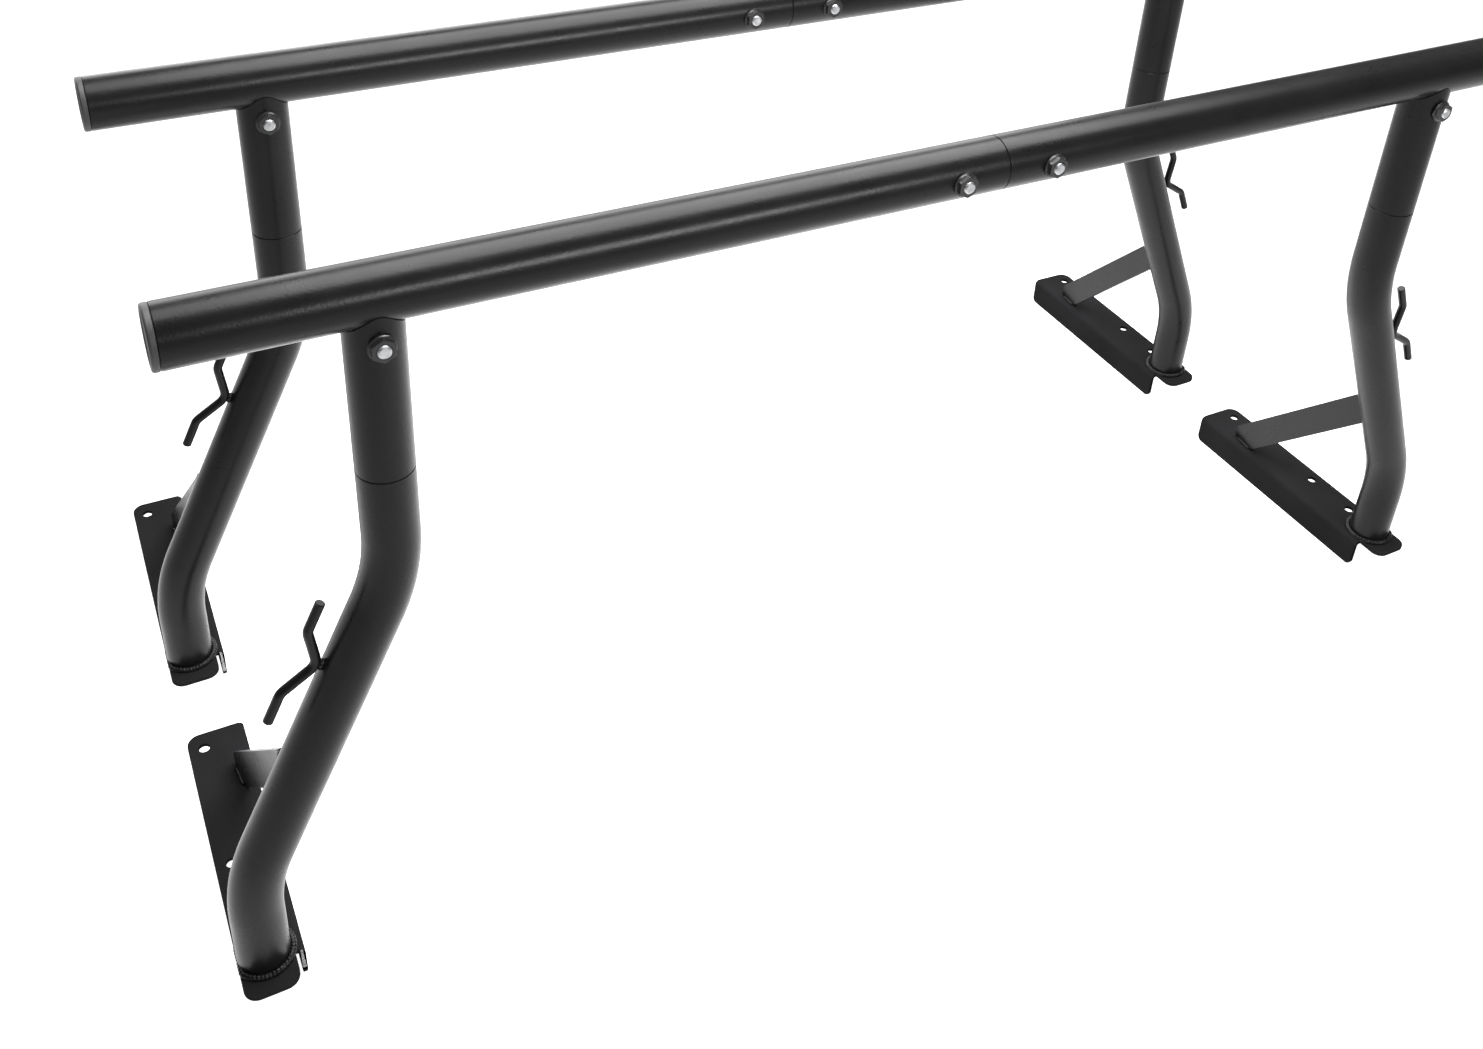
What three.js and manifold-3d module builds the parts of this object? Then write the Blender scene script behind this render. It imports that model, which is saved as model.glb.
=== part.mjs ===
// Two-bar pickup-truck ladder rack: two separate hoops that stand on the bed rails.
// Millimetres, +Z up. X runs along the crossbars, Y along the bed rails.
// Origin: on the ground plane under the middle of the whole rack.
import * as THREE from "three";
import { mergeVertices } from "three/addons/utils/BufferGeometryUtils.js";
import Module from "manifold-3d";

// --- driving dimensions ------------------------------------------------------------------
const BAR_OD = 53; // crossbar tube
const BAR_WALL = 2.5;
const LEG_OD = 50.8; // leg tube
const LEG_WALL = 2.3;
const LEG_SPAN = 1180; // between the two leg axes of one hoop
const OVERHANG = 165; // from a leg axis to the end of the bar
const HOOP_SPACING = 424; // between the two crossbars
const LEG_DROP = 718; // from the bar axis down to the top of the base plate
const SEAM_DROP = 170; // joint between the upper and the lower leg tube
const FOOT_OFFSET = 156; // how far the foot stands outside the top of the leg
const TOP_BEND_DROP = 284; // corner points of the two bends, below the bar axis
const FOOT_BEND_DROP = 612;
const LEG_BEND_RADIUS = 190;

const SHEET = 4.5; // base bracket sheet
const BASE_INNER = 119.5; // faces of the bracket, outwards from the leg's top axis
const BASE_OUTER = 181.5;
const BASE_NEAR = -45; // ends of the bracket along Y, from the bar axis
const BASE_FAR = 296;
const FLANGE_HEIGHT = 41; // from the plate's top face down
const FLANGE_NEAR = -12; // the flange stops short of the plate and leaves a tongue
const FLANGE_CORNER = 9; // radius of its two lower corners
const TONGUE_INNER = 129;
const BASE_CORNER = 14;
const FOLD_RADIUS = 7;
const BASE_HOLES = [44, 114.5, 275]; // along Y
const BASE_HOLE_LINE = 165; // outwards from the leg's top axis
const BASE_HOLE_D = 12;

const BRACE_WIDTH = 38;
const BRACE_SHEET = 5;
const BRACE_FOOT = { out: 134, along: 221, rise: 10 }; // centre of its round end, over the plate
const BRACE_HEAD = { out: 111, along: 14, drop: 498 }; // inside the leg, before it is cut back

const HOOK_ROD = 9.5;
const HOOK_DROP = 381; // height of the weld point, below the bar axis
const HOOK_REACH = 52; // from the leg axis to the middle of the parallel arms
const HOOK_WAIST = 30.6; // from the leg axis to the corner between the two arms
const HOOK_ELBOW = 34; // from the weld point to each elbow, along the leg
const HOOK_TIP = 66;
const HOOK_BEND_RADIUS = 14;
const HOOK_WELD_D = 8; // weld between the rod and the leg

const BOLT_D = 12;
const HEX_FLATS = 19;
const BOLT_HEAD = 7.5;
const NUT_HEIGHT = 7;
const NUT_FLANGE_D = 24;
const NUT_FLANGE = 1.8;
const BOLT_PROUD = 2; // thread showing beyond the nut
const HOLE_PLAY = 0.8; // hole over bolt, on the diameter
const LEG_BOLT_DROP = 36;
const SLEEVE_BOLT_X = 51;
const SLEEVE_HALF = 280;
const SLEEVE_WALL = 3;
const WIDTH_TRAVEL = 200; // how far the right half can be drawn out

const CAP_HEAD = 6;
const CAP_PLUG = 24;
const STUB_END = 105; // below the bar axis
const STUB_WALL = 3.5;
const COUPLER_HALF = 48;
const COUPLER_WALL = 3;

const GAP = 0.3; // between pieces that touch
const SLIP = 0.4; // radial play of a tube in a tube
const ROUND = 20; // facets round a tube
const BORE_FACETS = 16;
const BOLT_FACETS = 12;
const BEND_STEPS = 5;

// --- values worked out from them -----------------------------------------------------------
const BAR_R = BAR_OD / 2;
const BAR_BORE_R = BAR_R - BAR_WALL;
const LEG_R = LEG_OD / 2;
const LEG_BORE_R = LEG_R - LEG_WALL;
const LEG_X = LEG_SPAN / 2;
const BAR_END = LEG_X + OVERHANG;
const BAR_HEIGHT = LEG_DROP + FLANGE_HEIGHT;
const SLANT = Math.atan2(FOOT_OFFSET, FOOT_BEND_DROP - TOP_BEND_DROP);
const BASE_MIDDLE = (BASE_NEAR + BASE_FAR) / 2;

// --- materials --------------------------------------------------------------------------------
const powderCoat = () =>
  new THREE.MeshStandardMaterial({ color: 0x26272a, roughness: 0.42, metalness: 0.1 });
const blackPlastic = () =>
  new THREE.MeshStandardMaterial({ color: 0x303134, roughness: 0.55, metalness: 0 });
const zinc = () =>
  new THREE.MeshStandardMaterial({ color: 0xc9ccd0, roughness: 0.32, metalness: 1 });
const bareSteel = () =>
  new THREE.MeshStandardMaterial({ color: 0x8d9095, roughness: 0.45, metalness: 1 });

// --- solids --------------------------------------------------------------------------------------
const wasm = await Module();
wasm.setup();

/** A three.js geometry as a solid, turned the right way out. */
function solid(geometry) {
  const bare = geometry.clone();
  bare.deleteAttribute("normal");
  bare.deleteAttribute("uv");
  const merged = mergeVertices(bare, 1e-4);
  const triVerts = new Uint32Array(merged.index.array);
  const vertProperties = new Float32Array(merged.attributes.position.array);
  const made = new wasm.Manifold(new wasm.Mesh({ numProp: 3, vertProperties, triVerts }));
  if (made.volume() > 0) return made;
  for (let i = 0; i < triVerts.length; i += 3) {
    [triVerts[i + 1], triVerts[i + 2]] = [triVerts[i + 2], triVerts[i + 1]];
  }
  return new wasm.Manifold(new wasm.Mesh({ numProp: 3, vertProperties, triVerts }));
}

/** A solid as a named mesh of the given material. */
function mesh(name, made, material) {
  const { numProp, vertProperties, triVerts } = made.getMesh();
  const position = new Float32Array((vertProperties.length / numProp) * 3);
  for (let i = 0; i < position.length / 3; i++) {
    position.set(vertProperties.subarray(i * numProp, i * numProp + 3), i * 3);
  }
  const geometry = new THREE.BufferGeometry()
    .setAttribute("position", new THREE.BufferAttribute(position, 3))
    .setIndex(new THREE.BufferAttribute(new Uint32Array(triVerts), 1));
  geometry.computeVertexNormals();
  const result = new THREE.Mesh(geometry, material);
  result.name = name;
  return result;
}

/** A cylinder of one radius between two points. */
function rod(from, to, radius, facets = ROUND) {
  const axis = new THREE.Vector3().subVectors(to, from);
  const geometry = new THREE.CylinderGeometry(radius, radius, axis.length(), facets);
  const up = new THREE.Vector3(0, 1, 0);
  geometry.applyQuaternion(new THREE.Quaternion().setFromUnitVectors(up, axis.clone().normalize()));
  const middle = new THREE.Vector3().addVectors(from, to).multiplyScalar(0.5);
  return solid(geometry.translate(middle.x, middle.y, middle.z));
}

const point = (x, y, z) => new THREE.Vector3(x, y, z);
const alongX = (x0, x1, r, facets) => rod(point(x0, 0, 0), point(x1, 0, 0), r, facets);
const alongZ = (x, z0, z1, r, facets) => rod(point(x, 0, z0), point(x, 0, z1), r, facets);

/** A box given by its lowest and highest corners. */
function block(low, high) {
  const size = new THREE.Vector3().subVectors(high, low);
  const middle = new THREE.Vector3().addVectors(low, high).multiplyScalar(0.5);
  return solid(
    new THREE.BoxGeometry(size.x, size.y, size.z).translate(middle.x, middle.y, middle.z),
  );
}

/** A polyline in one plane whose corners are rounded: straight runs take one step, bends several. */
class BentPath extends THREE.Curve {
  constructor(corners, radius, steps) {
    super();
    this.stations = [{ at: corners[0], heading: this.heading(corners[0], corners[1]) }];
    for (let i = 1; i < corners.length - 1; i++) {
      const into = this.heading(corners[i - 1], corners[i]);
      const out = this.heading(corners[i], corners[i + 1]);
      const turn = into.angleTo(out);
      const centreWay = new THREE.Vector3().subVectors(out, into).normalize();
      const centre = corners[i].clone().addScaledVector(centreWay, radius / Math.cos(turn / 2));
      const axis = new THREE.Vector3().crossVectors(into, out).normalize();
      const start = corners[i].clone().addScaledVector(into, -radius * Math.tan(turn / 2));
      for (let k = 0; k <= steps; k++) {
        const angle = (turn * k) / steps;
        const spoke = start.clone().sub(centre).applyAxisAngle(axis, angle);
        this.stations.push({
          at: spoke.add(centre),
          heading: into.clone().applyAxisAngle(axis, angle),
        });
      }
    }
    const last = corners.length - 1;
    this.stations.push({
      at: corners[last],
      heading: this.heading(corners[last - 1], corners[last]),
    });
  }

  heading(from, to) {
    return new THREE.Vector3().subVectors(to, from).normalize();
  }

  get steps() {
    return this.stations.length - 1;
  }

  getUtoTmapping(u) {
    return u;
  }

  getPoint(t) {
    return this.stations[Math.round(t * this.steps)].at.clone();
  }

  getTangent(t) {
    return this.stations[Math.round(t * this.steps)].heading.clone();
  }
}

/** A round section drawn along a path. */
function sweep(path, radius, facets) {
  const ring = [];
  for (let i = 0; i < facets; i++) {
    const angle = (2 * Math.PI * i) / facets;
    ring.push(new THREE.Vector2(radius * Math.cos(angle), radius * Math.sin(angle)));
  }
  const settings = { steps: path.steps, extrudePath: path, bevelEnabled: false };
  return solid(new THREE.ExtrudeGeometry(new THREE.Shape(ring), settings));
}

/** A tube: one round solid with another taken out of it. */
const tube = (outer, inner) => outer.subtract(inner);

// --- places of the leg, in a frame at mid-rack on the bar axis, +X towards the leg's side --------
const legTop = point(LEG_X, 0, 0);
const legCorners = [
  point(LEG_X, 0, -SEAM_DROP),
  point(LEG_X, 0, -TOP_BEND_DROP),
  point(LEG_X + FOOT_OFFSET, 0, -FOOT_BEND_DROP),
  point(LEG_X + FOOT_OFFSET, 0, -LEG_DROP),
];

/** A point on the slanted part of the leg's axis. */
function onSlant(drop) {
  return point(LEG_X + (drop - TOP_BEND_DROP) * Math.tan(SLANT), 0, -drop);
}

const slantDown = point(Math.sin(SLANT), 0, -Math.cos(SLANT));
const slantOut = point(Math.cos(SLANT), 0, Math.sin(SLANT));

// --- fasteners ------------------------------------------------------------------------------------
/** A hexagonal prism about the Y axis. */
function hexAlongY(y0, y1) {
  const geometry = new THREE.CylinderGeometry(
    HEX_FLATS / Math.sqrt(3),
    HEX_FLATS / Math.sqrt(3),
    y1 - y0,
    6,
  );
  return solid(geometry.translate(0, (y0 + y1) / 2, 0));
}

const alongY = (y0, y1, r) => rod(point(0, y0, 0), point(0, y1, 0), r, BOLT_FACETS);

/** A through bolt and its flanged nut for a tube of radius r, head at +Y, nut at -Y. */
function boltAndNut(name, r) {
  const seat = r + GAP;
  const nutEnd = -(seat + NUT_HEIGHT);
  const group = new THREE.Group();
  const shank = alongY(nutEnd - BOLT_PROUD, seat + BOLT_HEAD / 2, BOLT_D / 2);
  group.add(mesh(`${name}_bolt`, shank.add(hexAlongY(seat, seat + BOLT_HEAD)), zinc()));
  const threadHole = alongY(nutEnd - 1, -seat + 1, (BOLT_D + HOLE_PLAY) / 2);
  const nut = hexAlongY(nutEnd, -seat).add(alongY(-seat - NUT_FLANGE, -seat, NUT_FLANGE_D / 2));
  group.add(mesh(`${name}_nut`, nut.subtract(threadHole), powderCoat()));
  return group;
}

/** The hole for a through bolt along Y at (x, z). */
function boltHole(x, z) {
  const ends = [point(x, -BAR_OD, z), point(x, BAR_OD, z)];
  return rod(...ends, (BOLT_D + HOLE_PLAY) / 2, BOLT_FACETS);
}

// --- one half of a hoop: bar half, leg, base, brace and rope hook ------------------------------------
function crossbar(name) {
  const end = BAR_END - CAP_HEAD - GAP;
  const hollow = tube(alongX(GAP / 2, end, BAR_R), alongX(-1, end + 1, BAR_BORE_R));
  const made = hollow.subtract(boltHole(SLEEVE_BOLT_X, 0));
  return mesh(`${name}_crossbar`, made, powderCoat());
}

function endCap(name) {
  const head = BAR_END - CAP_HEAD;
  const cap = alongX(head, BAR_END, BAR_R)
    .add(alongX(head - CAP_PLUG, head + 1, BAR_BORE_R - GAP))
    .subtract(alongX(head - CAP_PLUG - 1, head - 1, BAR_BORE_R - 3));
  return mesh(`${name}_end_cap`, cap, blackPlastic());
}

/** Takes the crossbar's round out of the top of an upright tube. */
const saddle = () => alongX(0, BAR_END, BAR_R + GAP);

function stub(name) {
  const outer = LEG_BORE_R - SLIP;
  const made = tube(
    alongZ(LEG_X, -STUB_END, 0, outer),
    alongZ(LEG_X, -STUB_END - 1, 1, outer - STUB_WALL, BORE_FACETS),
  );
  const cut = made.subtract(saddle()).subtract(boltHole(LEG_X, -LEG_BOLT_DROP));
  return mesh(`${name}_leg_stub`, cut, powderCoat());
}

function upperLeg(name) {
  const made = tube(
    alongZ(LEG_X, -SEAM_DROP + GAP / 2, 0, LEG_R),
    alongZ(LEG_X, -SEAM_DROP - 1, 1, LEG_BORE_R),
  );
  const cut = made.subtract(saddle()).subtract(boltHole(LEG_X, -LEG_BOLT_DROP));
  return mesh(`${name}_upper_leg`, cut, powderCoat());
}

function coupler(name) {
  const outer = LEG_BORE_R - SLIP;
  const made = tube(
    alongZ(LEG_X, -SEAM_DROP - COUPLER_HALF, -SEAM_DROP + COUPLER_HALF, outer),
    alongZ(
      LEG_X,
      -SEAM_DROP - COUPLER_HALF - 1,
      -SEAM_DROP + COUPLER_HALF + 1,
      outer - COUPLER_WALL,
      BORE_FACETS,
    ),
  );
  return mesh(`${name}_leg_coupler`, made, bareSteel());
}

function lowerLeg(name) {
  const [top, upperCorner, footCorner, foot] = legCorners;
  const outside = new BentPath(
    [
      top.clone().setZ(top.z - GAP / 2),
      upperCorner,
      footCorner,
      foot.clone().setZ(foot.z + GAP),
    ],
    LEG_BEND_RADIUS,
    BEND_STEPS,
  );
  const inside = new BentPath(
    [top.clone().setZ(top.z + 1), upperCorner, footCorner, foot.clone().setZ(foot.z - 1)],
    LEG_BEND_RADIUS,
    BEND_STEPS,
  );
  const made = tube(sweep(outside, LEG_R, ROUND), sweep(inside, LEG_BORE_R, ROUND));
  return mesh(`${name}_lower_leg`, made, powderCoat());
}

/** The folded sheet that sits on the bed rail: a plate with a flange down its inner side. */
function baseBracket(name) {
  const inner = LEG_X + BASE_INNER;
  const outer = LEG_X + BASE_OUTER;
  const top = -LEG_DROP;
  const plateOutline = new THREE.Shape()
    .moveTo(inner + FOLD_RADIUS, FLANGE_NEAR)
    .lineTo(LEG_X + TONGUE_INNER, FLANGE_NEAR)
    .lineTo(LEG_X + TONGUE_INNER, BASE_NEAR + BASE_CORNER)
    .absarc(
      LEG_X + TONGUE_INNER + BASE_CORNER,
      BASE_NEAR + BASE_CORNER,
      BASE_CORNER,
      Math.PI,
      1.5 * Math.PI,
      false,
    )
    .lineTo(outer - BASE_CORNER, BASE_NEAR)
    .absarc(outer - BASE_CORNER, BASE_NEAR + BASE_CORNER, BASE_CORNER, 1.5 * Math.PI, 0, false)
    .lineTo(outer, BASE_FAR - BASE_CORNER)
    .absarc(outer - BASE_CORNER, BASE_FAR - BASE_CORNER, BASE_CORNER, 0, 0.5 * Math.PI, false)
    .lineTo(inner + FOLD_RADIUS, BASE_FAR);
  const plate = new THREE.ExtrudeGeometry(plateOutline, {
    depth: SHEET,
    bevelEnabled: false,
    curveSegments: 5,
  }).translate(0, 0, top - SHEET);

  // the fold and the flange, drawn in the X-Z plane and extruded along Y
  const bottom = top - FLANGE_HEIGHT;
  const overlap = inner + FOLD_RADIUS + 2;
  const section = new THREE.Shape()
    .moveTo(inner, bottom)
    .lineTo(inner + SHEET, bottom)
    .lineTo(inner + SHEET, top - FOLD_RADIUS)
    .absarc(
      inner + FOLD_RADIUS,
      top - FOLD_RADIUS,
      FOLD_RADIUS - SHEET,
      Math.PI,
      0.5 * Math.PI,
      true,
    )
    .lineTo(overlap, top - SHEET)
    .lineTo(overlap, top)
    .lineTo(inner + FOLD_RADIUS, top)
    .absarc(inner + FOLD_RADIUS, top - FOLD_RADIUS, FOLD_RADIUS, 0.5 * Math.PI, Math.PI, false);
  const fold = new THREE.ExtrudeGeometry(section, {
    depth: BASE_FAR - FLANGE_NEAR,
    bevelEnabled: false,
    curveSegments: 4,
  })
    .rotateX(Math.PI / 2)
    .translate(0, BASE_FAR, 0);

  // the flange's outline with its lower corners rounded, drawn in the Y-Z plane
  const corner = FLANGE_CORNER;
  const side = new THREE.Shape()
    .moveTo(FLANGE_NEAR, top + 1)
    .lineTo(FLANGE_NEAR, bottom + corner)
    .absarc(FLANGE_NEAR + corner, bottom + corner, corner, Math.PI, 1.5 * Math.PI, false)
    .lineTo(BASE_FAR - corner, bottom)
    .absarc(BASE_FAR - corner, bottom + corner, corner, 1.5 * Math.PI, 2 * Math.PI, false)
    .lineTo(BASE_FAR, top + 1);
  const sideBlank = new THREE.ExtrudeGeometry(side, {
    depth: overlap - inner + 2,
    bevelEnabled: false,
    curveSegments: 4,
  }).applyMatrix4(
    new THREE.Matrix4()
      .makeBasis(point(0, 1, 0), point(0, 0, 1), point(1, 0, 0))
      .setPosition(inner - 1, 0, 0),
  );
  const flange = solid(fold).intersect(solid(sideBlank));

  let made = solid(plate).add(flange);
  for (const y of BASE_HOLES) {
    const x = LEG_X + BASE_HOLE_LINE;
    const hole = [point(x, y, top + 1), point(x, y, top - SHEET - 1)];
    made = made.subtract(rod(...hole, BASE_HOLE_D / 2, BOLT_FACETS));
  }
  return mesh(`${name}_base_bracket`, made, powderCoat());
}

/** A flat strip with a round lower end, from the base plate up to the back of the leg. */
function brace(name) {
  const r = BRACE_WIDTH / 2;
  const foot = point(LEG_X + BRACE_FOOT.out, BRACE_FOOT.along, -LEG_DROP + BRACE_FOOT.rise);
  const head = point(LEG_X + BRACE_HEAD.out, BRACE_HEAD.along, -BRACE_HEAD.drop);
  const run = new THREE.Vector3().subVectors(head, foot);
  const length = run.length();
  const along = run.normalize();
  const thickWay = new THREE.Vector3().crossVectors(along, point(0, 0, 1)).normalize();
  const wideWay = new THREE.Vector3().crossVectors(thickWay, along);
  const outline = new THREE.Shape()
    .moveTo(length, r)
    .lineTo(0, r)
    .absarc(0, 0, r, 0.5 * Math.PI, 1.5 * Math.PI, false)
    .lineTo(length, -r);
  const geometry = new THREE.ExtrudeGeometry(outline, {
    depth: BRACE_SHEET,
    bevelEnabled: false,
    curveSegments: 9,
  })
    .translate(0, 0, -BRACE_SHEET / 2)
    .applyMatrix4(new THREE.Matrix4().makeBasis(along, wideWay, thickWay).setPosition(foot));
  const leg = rod(onSlant(TOP_BEND_DROP), onSlant(FOOT_BEND_DROP), LEG_R + GAP, ROUND);
  const belowPlate = block(
    point(foot.x - BRACE_WIDTH, foot.y - BRACE_WIDTH, foot.z - BRACE_WIDTH),
    point(foot.x + BRACE_WIDTH, foot.y + BRACE_WIDTH, -LEG_DROP + GAP),
  );
  const made = solid(geometry).subtract(leg).subtract(belowPlate);
  return mesh(`${name}_brace`, made, powderCoat());
}

/** A bent round rod, welded by its middle to the outside of the leg, with an arm up and one down. */
function ropeHook(name) {
  const weldPoint = onSlant(HOOK_DROP);
  const at = (down, out) =>
    weldPoint.clone().addScaledVector(slantDown, down).addScaledVector(slantOut, out);
  const corners = [
    at(-HOOK_TIP, HOOK_REACH),
    at(-HOOK_ELBOW, HOOK_REACH),
    at(0, HOOK_WAIST),
    at(HOOK_ELBOW, HOOK_REACH),
    at(HOOK_TIP, HOOK_REACH),
  ];
  const path = new BentPath(corners, HOOK_BEND_RADIUS, 4);
  const weld = rod(at(0, LEG_R + GAP), at(0, HOOK_WAIST + 3), HOOK_WELD_D / 2, 8);
  return mesh(`${name}_rope_hook`, sweep(path, HOOK_ROD / 2, 12).add(weld), powderCoat());
}

function halfHoop(name) {
  const half = new THREE.Group();
  half.add(crossbar(name), endCap(name), stub(name), upperLeg(name), coupler(name));
  half.add(lowerLeg(name), baseBracket(name), brace(name), ropeHook(name));
  const legBolt = boltAndNut(`${name}_leg`, LEG_R);
  legBolt.position.copy(legTop).setZ(-LEG_BOLT_DROP);
  const sleeveBolt = boltAndNut(`${name}_sleeve`, BAR_R);
  sleeveBolt.position.set(SLEEVE_BOLT_X, 0, 0);
  half.add(legBolt, sleeveBolt);
  return half;
}

/** The tube inside the two bar halves; a slot lets the right half be drawn out. */
function sleeve(name) {
  const outer = BAR_BORE_R - SLIP;
  const made = tube(
    alongX(-SLEEVE_HALF, SLEEVE_HALF, outer),
    alongX(-SLEEVE_HALF - 1, SLEEVE_HALF + 1, outer - SLEEVE_WALL),
  );
  const width = BOLT_D + HOLE_PLAY;
  const slotStart = boltHole(SLEEVE_BOLT_X, 0);
  const slotEnd = boltHole(SLEEVE_BOLT_X + WIDTH_TRAVEL, 0);
  const across = block(
    point(SLEEVE_BOLT_X, -BAR_OD, -width / 2),
    point(SLEEVE_BOLT_X + WIDTH_TRAVEL, BAR_OD, width / 2),
  );
  const cut = made
    .subtract(boltHole(-SLEEVE_BOLT_X, 0))
    .subtract(slotStart)
    .subtract(slotEnd)
    .subtract(across);
  return mesh(`${name}_crossbar_sleeve`, cut, bareSteel());
}

function hoop(name) {
  const made = new THREE.Group();
  const right = halfHoop(`${name}_right`);
  const left = halfHoop(`${name}_left`);
  left.scale.x = -1;
  made.add(left, right, sleeve(name));
  return made;
}

const rack = new THREE.Group();
for (const [name, side] of [
  ["front", -1],
  ["rear", 1],
]) {
  const made = hoop(name);
  made.position.set(0, (side * HOOP_SPACING) / 2 - BASE_MIDDLE, BAR_HEIGHT);
  rack.add(made);
}

export default rack;
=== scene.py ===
"""Ladder rack for pickup bed rails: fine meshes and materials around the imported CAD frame."""
import math

import bmesh
import bpy
from mathutils import Matrix, Vector

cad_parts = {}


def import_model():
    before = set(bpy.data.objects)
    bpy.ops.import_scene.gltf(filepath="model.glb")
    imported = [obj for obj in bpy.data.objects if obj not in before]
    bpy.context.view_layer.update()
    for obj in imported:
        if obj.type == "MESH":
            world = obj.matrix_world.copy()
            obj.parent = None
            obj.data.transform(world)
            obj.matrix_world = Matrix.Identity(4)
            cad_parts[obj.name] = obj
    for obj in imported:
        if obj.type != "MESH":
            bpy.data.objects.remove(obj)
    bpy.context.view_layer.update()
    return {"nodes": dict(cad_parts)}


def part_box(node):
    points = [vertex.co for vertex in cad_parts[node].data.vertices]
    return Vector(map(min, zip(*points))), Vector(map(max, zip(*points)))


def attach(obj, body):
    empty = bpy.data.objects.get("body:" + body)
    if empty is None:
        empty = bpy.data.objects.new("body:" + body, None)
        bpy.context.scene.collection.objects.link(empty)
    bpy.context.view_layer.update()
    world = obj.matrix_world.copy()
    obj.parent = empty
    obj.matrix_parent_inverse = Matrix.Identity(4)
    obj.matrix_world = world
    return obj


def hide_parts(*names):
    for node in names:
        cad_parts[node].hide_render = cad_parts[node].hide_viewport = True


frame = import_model()

HOOPS = ("front", "rear")
SIDES = {"left": -1, "right": 1}

# ---------------------------------------------------------------- sizes, in metres
# Read from the frame where a node's box gives them.
bar_low, bar_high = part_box("front_right_crossbar")
cap_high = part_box("front_right_end_cap")[1]
leg_low, leg_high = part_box("front_right_upper_leg")
base_low, base_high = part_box("front_right_base_bracket")
sleeve_low, sleeve_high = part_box("front_crossbar_sleeve")
leg_bolt_low, leg_bolt_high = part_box("front_right_leg_bolt")
sleeve_bolt_low, sleeve_bolt_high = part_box("front_right_sleeve_bolt")

BAR_HEIGHT = (bar_low.z + bar_high.z) / 2
BAR_R = (bar_high.z - bar_low.z) / 2
BAR_WALL = 0.0025
BAR_START = bar_low.x
CAP_SEAT = bar_high.x
CAP_END = cap_high.x
LEG_X = (leg_low.x + leg_high.x) / 2
LEG_R = (leg_high.x - leg_low.x) / 2
LEG_WALL = 0.0023
PLATE_TOP = base_high.z - BAR_HEIGHT
PLATE_SHEET = 0.0045
SEAM = leg_low.z - BAR_HEIGHT
HOOP_Y = {
    hoop: (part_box(f"{hoop}_right_crossbar")[0].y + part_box(f"{hoop}_right_crossbar")[1].y) / 2
    for hoop in HOOPS
}
BASE_NEAR = base_low.y - HOOP_Y["front"]
BASE_FAR = base_high.y - HOOP_Y["front"]
BASE_INNER = base_low.x
BASE_OUTER = base_high.x
FLANGE_BOTTOM = base_low.z - BAR_HEIGHT

# The leg's bends and the pieces on it, as the CAD source has them.
FOOT_OFFSET = 0.156
TOP_BEND = -0.284
FOOT_BEND = -0.612
LEG_BEND_RADIUS = 0.190
FLANGE_NEAR = -0.012
FLANGE_CORNER = 0.009
TONGUE_INNER = LEG_X + 0.129
BASE_CORNER = 0.014
FOLD_RADIUS = 0.007
BASE_HOLES = (0.044, 0.1145, 0.275)
BASE_HOLE_X = LEG_X + 0.165
BASE_HOLE_R = 0.0060
BRACE_WIDTH = 0.038
BRACE_SHEET = 0.005
BRACE_FOOT = Vector((LEG_X + 0.134, 0.221, PLATE_TOP + 0.010))
BRACE_HEAD = Vector((LEG_X + 0.111, 0.014, -0.498))
HOOK_R = 0.00475
HOOK_DROP = 0.381
HOOK_REACH = 0.052
HOOK_WAIST = 0.0306
HOOK_ELBOW = 0.034
HOOK_TIP = 0.066
HOOK_BEND_RADIUS = 0.014
BOLT_R = 0.006
NUT_FLATS = 0.019
BOLT_HEAD = 0.0075
NUT_HEIGHT = 0.007
NUT_FLANGE_R = 0.012
NUT_FLANGE = 0.0018
BOLT_PROUD = 0.002
HOLE_R = 0.0064
SLEEVE_WALL = 0.003
WIDTH_TRAVEL = 0.2
LEG_BOLT_DROP = 0.036
SLEEVE_BOLT_X = (sleeve_bolt_low.x + sleeve_bolt_high.x) / 2
GAP = 0.0003
ROUND = 72

SLANT = math.atan2(FOOT_OFFSET, TOP_BEND - FOOT_BEND)
SLANT_DOWN = Vector((math.sin(SLANT), 0, -math.cos(SLANT)))
SLANT_OUT = Vector((math.cos(SLANT), 0, math.sin(SLANT)))


def on_slant(drop):
    """A point of the slanted leg's axis, at a depth below the bar axis."""
    return Vector((LEG_X + (drop + TOP_BEND) * math.tan(SLANT), 0, -drop))


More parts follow.
